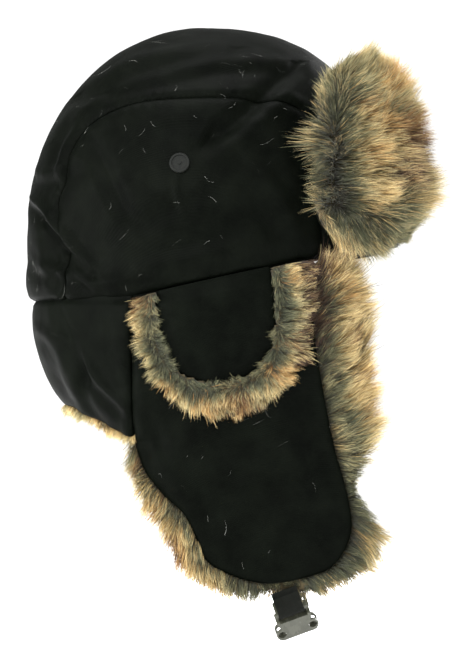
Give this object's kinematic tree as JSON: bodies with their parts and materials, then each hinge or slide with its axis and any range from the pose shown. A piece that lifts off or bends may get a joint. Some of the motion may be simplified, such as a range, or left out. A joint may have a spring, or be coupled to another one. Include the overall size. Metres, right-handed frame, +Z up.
{
  "type": "trapper hat",
  "caption": "Winter trapper hat with a padded fabric crown, turned-up fur visor, long fur-lined ear flaps, snap-up ear covers and a buckled chin strap.",
  "frame": {"origin": "middle of the head opening at the level of the brow band", "axes": "+Z up out of the crown's top, -Y the wearer's front, +X the wearer's left"},
  "size_m": [0.207, 0.2646, 0.3937],
  "materials": {
    "twill": "near-black peached cotton twill with soft sheen",
    "lining": "black quilted polyester lining",
    "wadding": "white polyester wadding",
    "fur": "long tan faux fur with slate underfur, cream tips and brown patches",
    "binding": "black folded cotton tape",
    "webbing": "black woven polypropylene webbing",
    "interlining": "stiff felted interlining",
    "snap": "black lacquered snap fastener",
    "washer": "plain steel washer",
    "buckle": "black moulded acetal with an even gloss"
  },
  "bodies": {
    "crown": {"crown_side_panel_right": "twill", "crown_side_panel_left": "twill", "crown_centre_panel": "twill", "crown_wadding": "wadding", "crown_lining_side_right": "lining", "crown_lining_side_left": "lining", "crown_lining_centre": "lining", "sweatband": "lining", "brow_binding": "binding", "crown_stud_right": "snap", "crown_stud_left": "snap", "crown_stud_washer_right": "washer", "crown_stud_washer_left": "washer", "neck_flap_shell": "twill", "neck_flap_wadding": "wadding", "neck_flap_fur": "fur"},
    "visor": {"visor_shell": "twill", "visor_interlining": "interlining", "visor_fur": "fur"},
    "ear_flap_right": {"ear_flap_shell_right": "twill", "ear_flap_wadding_right": "wadding", "ear_flap_fur_right": "fur"},
    "ear_cover_right": {"ear_cover_shell_right": "twill", "ear_cover_fur_right": "fur", "ear_cover_snap_right": "snap"},
    "chin_strap_right": {"chin_strap_right": "webbing"},
    "buckle_socket": {"buckle_socket": "buckle"},
    "ear_flap_left": {"ear_flap_shell_left": "twill", "ear_flap_wadding_left": "wadding", "ear_flap_fur_left": "fur"},
    "ear_cover_left": {"ear_cover_shell_left": "twill", "ear_cover_fur_left": "fur", "ear_cover_snap_left": "snap"},
    "chin_strap_left": {"chin_strap_left": "webbing", "strap_keeper_left": "webbing"},
    "buckle_plug": {"buckle_plug": "buckle"},
    "buckle_prong_front": {"buckle_prong_front": "buckle"},
    "buckle_prong_rear": {"buckle_prong_rear": "buckle"}
  },
  "joints": [
    {"name": "visor_fold", "type": "hinge", "parent": "crown", "child": "visor", "pos_m": [0, -0.118, 0.012], "axis": [1, 0, 0], "range_deg": [0, 110]},
    {"name": "ear_flap_right_swing", "type": "hinge", "parent": "crown", "child": "ear_flap_right", "pos_m": [-0.103, 0, -0.01158], "axis": [0, 0.9775, -0.2107], "range_deg": [0, 130]},
    {"name": "ear_cover_right_fold", "type": "hinge", "parent": "ear_flap_right", "child": "ear_cover_right", "pos_m": [-0.103, 0, -0.01158], "axis": [0, -0.9775, 0.2107], "range_deg": [-175, 0]},
    {"name": "chin_strap_right_swing", "type": "hinge", "parent": "ear_flap_right", "child": "chin_strap_right", "pos_m": [-0.0796, -0.0465, -0.206], "axis": [0, 0.9397, -0.342], "range_deg": [0, 85]},
    {"name": "buckle_socket_pivot", "type": "hinge", "parent": "chin_strap_right", "child": "buckle_socket", "pos_m": [-0.0796, -0.05129, -0.21916], "axis": [0, 0.9397, -0.342], "range_deg": [-30, 60]},
    {"name": "ear_flap_left_swing", "type": "hinge", "parent": "crown", "child": "ear_flap_left", "pos_m": [0.103, 0, -0.01158], "axis": [0, -0.9775, 0.2107], "range_deg": [0, 130]},
    {"name": "ear_cover_left_fold", "type": "hinge", "parent": "ear_flap_left", "child": "ear_cover_left", "pos_m": [0.103, 0, -0.01158], "axis": [0, 0.9775, -0.2107], "range_deg": [-175, 0]},
    {"name": "chin_strap_left_swing", "type": "hinge", "parent": "ear_flap_left", "child": "chin_strap_left", "pos_m": [0.0796, -0.0465, -0.206], "axis": [0, -0.9397, 0.342], "range_deg": [0, 85]},
    {"name": "buckle_plug_pivot", "type": "hinge", "parent": "chin_strap_left", "child": "buckle_plug", "pos_m": [0.0796, -0.05129, -0.21916], "axis": [0, -0.9397, 0.342], "range_deg": [-30, 60]},
    {"name": "buckle_prong_front_squeeze", "type": "hinge", "parent": "buckle_plug", "child": "buckle_prong_front", "pos_m": [0.07237, -0.05967, -0.22465], "axis": [0.7431, -0.2289, -0.6288], "range_deg": [0, 9], "stiffness_Nm_per_rad": 0.05},
    {"name": "buckle_prong_rear_squeeze", "type": "hinge", "parent": "buckle_plug", "child": "buckle_prong_rear", "pos_m": [0.07237, -0.0484, -0.22875], "axis": [0.7431, -0.2289, -0.6288], "range_deg": [-9, 0], "stiffness_Nm_per_rad": 0.05}
  ]
}
